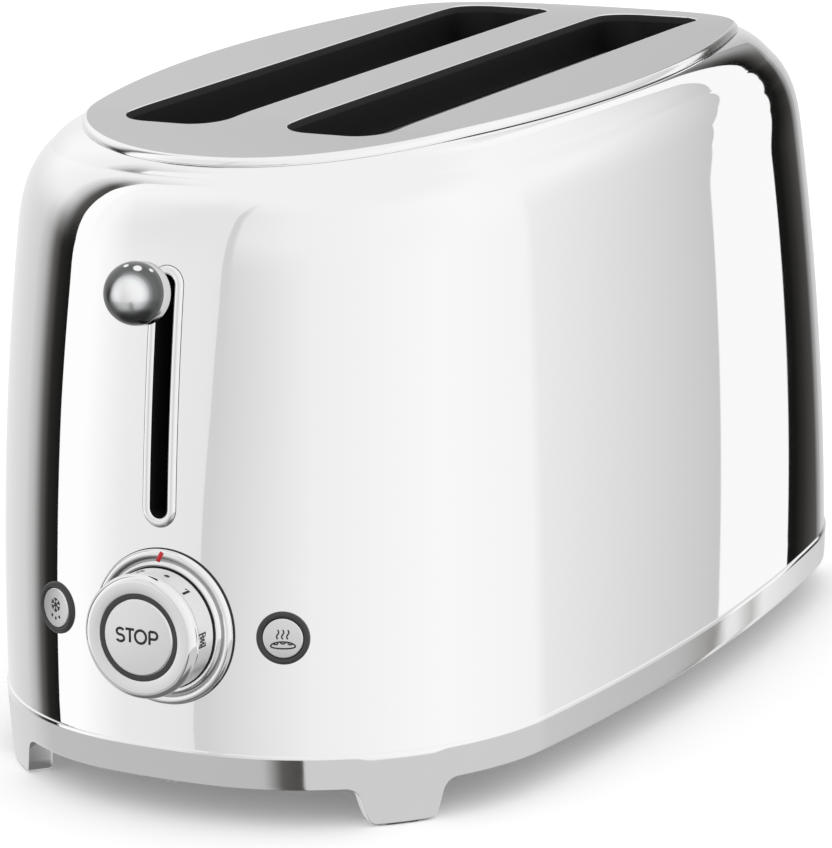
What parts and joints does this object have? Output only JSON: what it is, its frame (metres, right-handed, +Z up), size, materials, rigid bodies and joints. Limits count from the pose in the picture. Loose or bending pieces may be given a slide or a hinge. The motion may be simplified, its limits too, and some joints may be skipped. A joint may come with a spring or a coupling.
{
  "type": "toaster",
  "caption": "Long polished toaster with wide bread slots, a sprung lever, a browning dial with a stop button, push buttons and a slide-out crumb tray.",
  "frame": {"origin": "middle of the whole outline seen from above, on the floor under the feet", "axes": "+Z up, +Y from the lever end to the rear along the length, +X across to the right"},
  "size_m": [0.211, 0.396, 0.2127],
  "materials": {
    "polished_steel": "mirror polished stainless sheet",
    "satin_steel": "satin stainless sheet",
    "satin_band": "satin",
    "bright_trim": "polished",
    "satin_knob": "satin face, polished edge",
    "button_cap": "satin",
    "black_plastic": "matte",
    "black_enamel": "heat-proof matte",
    "red_mark": "gloss",
    "rubber": "matte",
    "zinc_sheet": "zinc plated",
    "bright_wire": "drawn wire",
    "mica": "dull",
    "ribbon_alloy": "oxidised",
    "plated_steel": "plated",
    "board_green": "solder resist",
    "grey_plastic": "matte",
    "coil_winding": "enamelled copper",
    "iron": "plain",
    "ceramic": "glazed",
    "bus_metal": "plain",
    "lead_sleeve": "silicone"
  },
  "bodies": {
    "housing": {"body_shell": "polished_steel", "top_plate": "satin_steel", "base_band": "satin_band", "foot_pads": "rubber", "base_plate": "zinc_sheet", "tray_rails": "zinc_sheet", "cord_gland": "rubber", "lever_slot_trim": "bright_trim", "dial_bezel": "bright_trim", "pointer_mark": "red_mark", "defrost_ring": "black_plastic", "reheat_ring": "black_plastic", "guide_rods": "plated_steel", "lift_springs": "plated_steel", "chassis_front": "zinc_sheet", "chassis_rear": "zinc_sheet", "outer_reflectors": "zinc_sheet", "centre_reflector": "zinc_sheet", "control_board": "board_green", "board_standoffs": "plated_steel", "dial_potentiometer": "grey_plastic", "button_switches": "black_plastic", "electromagnet_core": "iron", "electromagnet_coil": "coil_winding", "power_switch": "black_plastic", "terminal_block": "ceramic", "bus_insulators": "mica", "bus_bars": "bus_metal", "lead_wires": "lead_sleeve", "base_screws": "plated_steel", "chassis_screws": "plated_steel", "slot_liner_left": "black_enamel", "slot_liner_right": "black_enamel", "heater_board_left_outer": "mica", "heater_ribbon_left_outer": "ribbon_alloy", "heater_board_left_inner": "mica", "heater_ribbon_left_inner": "ribbon_alloy", "heater_board_right_outer": "mica", "heater_ribbon_right_outer": "ribbon_alloy", "heater_board_right_inner": "mica", "heater_ribbon_right_inner": "ribbon_alloy"},
    "lever": {"lever_knob": "bright_trim", "lever_arm": "plated_steel", "carriage": "grey_plastic", "armature": "iron", "bread_rack_left": "zinc_sheet", "bread_rack_right": "zinc_sheet"},
    "guide_left_outer": {"bread_guide_left_outer": "bright_wire"},
    "guide_left_inner": {"bread_guide_left_inner": "bright_wire"},
    "guide_right_outer": {"bread_guide_right_outer": "bright_wire"},
    "guide_right_inner": {"bread_guide_right_inner": "bright_wire"},
    "dial": {"dial_knob": "satin_knob", "dial_shaft": "plated_steel", "stop_ring": "black_plastic"},
    "stop": {"stop_button": "satin_knob"},
    "defrost": {"defrost_button": "button_cap"},
    "reheat": {"reheat_button": "button_cap"},
    "tray": {"crumb_tray": "zinc_sheet", "crumb_tray_handle": "black_plastic"}
  },
  "joints": [
    {"name": "lever_slide", "type": "slide", "parent": "housing", "child": "lever", "axis": [0, 0, -1], "range_m": [0, 0.066], "stiffness_N_per_m": 60, "springref_m": -0.06, "deforming": ["lift_springs"]},
    {"name": "guide_left_outer_slide", "type": "slide", "parent": "housing", "child": "guide_left_outer", "axis": [1, 0, 0], "range_m": [0, 0.009]},
    {"name": "guide_left_inner_slide", "type": "slide", "parent": "housing", "child": "guide_left_inner", "axis": [-1, 0, 0], "range_m": [0, 0.009]},
    {"name": "guide_right_outer_slide", "type": "slide", "parent": "housing", "child": "guide_right_outer", "axis": [-1, 0, 0], "range_m": [0, 0.009]},
    {"name": "guide_right_inner_slide", "type": "slide", "parent": "housing", "child": "guide_right_inner", "axis": [1, 0, 0], "range_m": [0, 0.009]},
    {"name": "dial_turn", "type": "hinge", "parent": "housing", "child": "dial", "pos_m": [0.002, -0.18073, 0.0639], "axis": [-0.0081, 0.9988, -0.0486], "range_deg": [0, 270]},
    {"name": "stop_push", "type": "slide", "parent": "housing", "child": "stop", "axis": [-0.0081, 0.9988, -0.0486], "range_m": [0, 0.002], "stiffness_N_per_m": 600},
    {"name": "defrost_push", "type": "slide", "parent": "housing", "child": "defrost", "axis": [0.361, 0.9315, -0.0442], "range_m": [0, 0.0018], "stiffness_N_per_m": 600},
    {"name": "reheat_push", "type": "slide", "parent": "housing", "child": "reheat", "axis": [-0.361, 0.9315, -0.0442], "range_m": [0, 0.0018], "stiffness_N_per_m": 600},
    {"name": "crumb_tray_slide", "type": "slide", "parent": "housing", "child": "tray", "axis": [0, 1, 0], "range_m": [0, 0.25]}
  ],
  "couplings": [
    {"joint": "guide_left_outer_slide", "follows": "lever_slide", "ratio": 0.13636},
    {"joint": "guide_left_inner_slide", "follows": "lever_slide", "ratio": 0.13636},
    {"joint": "guide_right_outer_slide", "follows": "lever_slide", "ratio": 0.13636},
    {"joint": "guide_right_inner_slide", "follows": "lever_slide", "ratio": 0.13636}
  ]
}
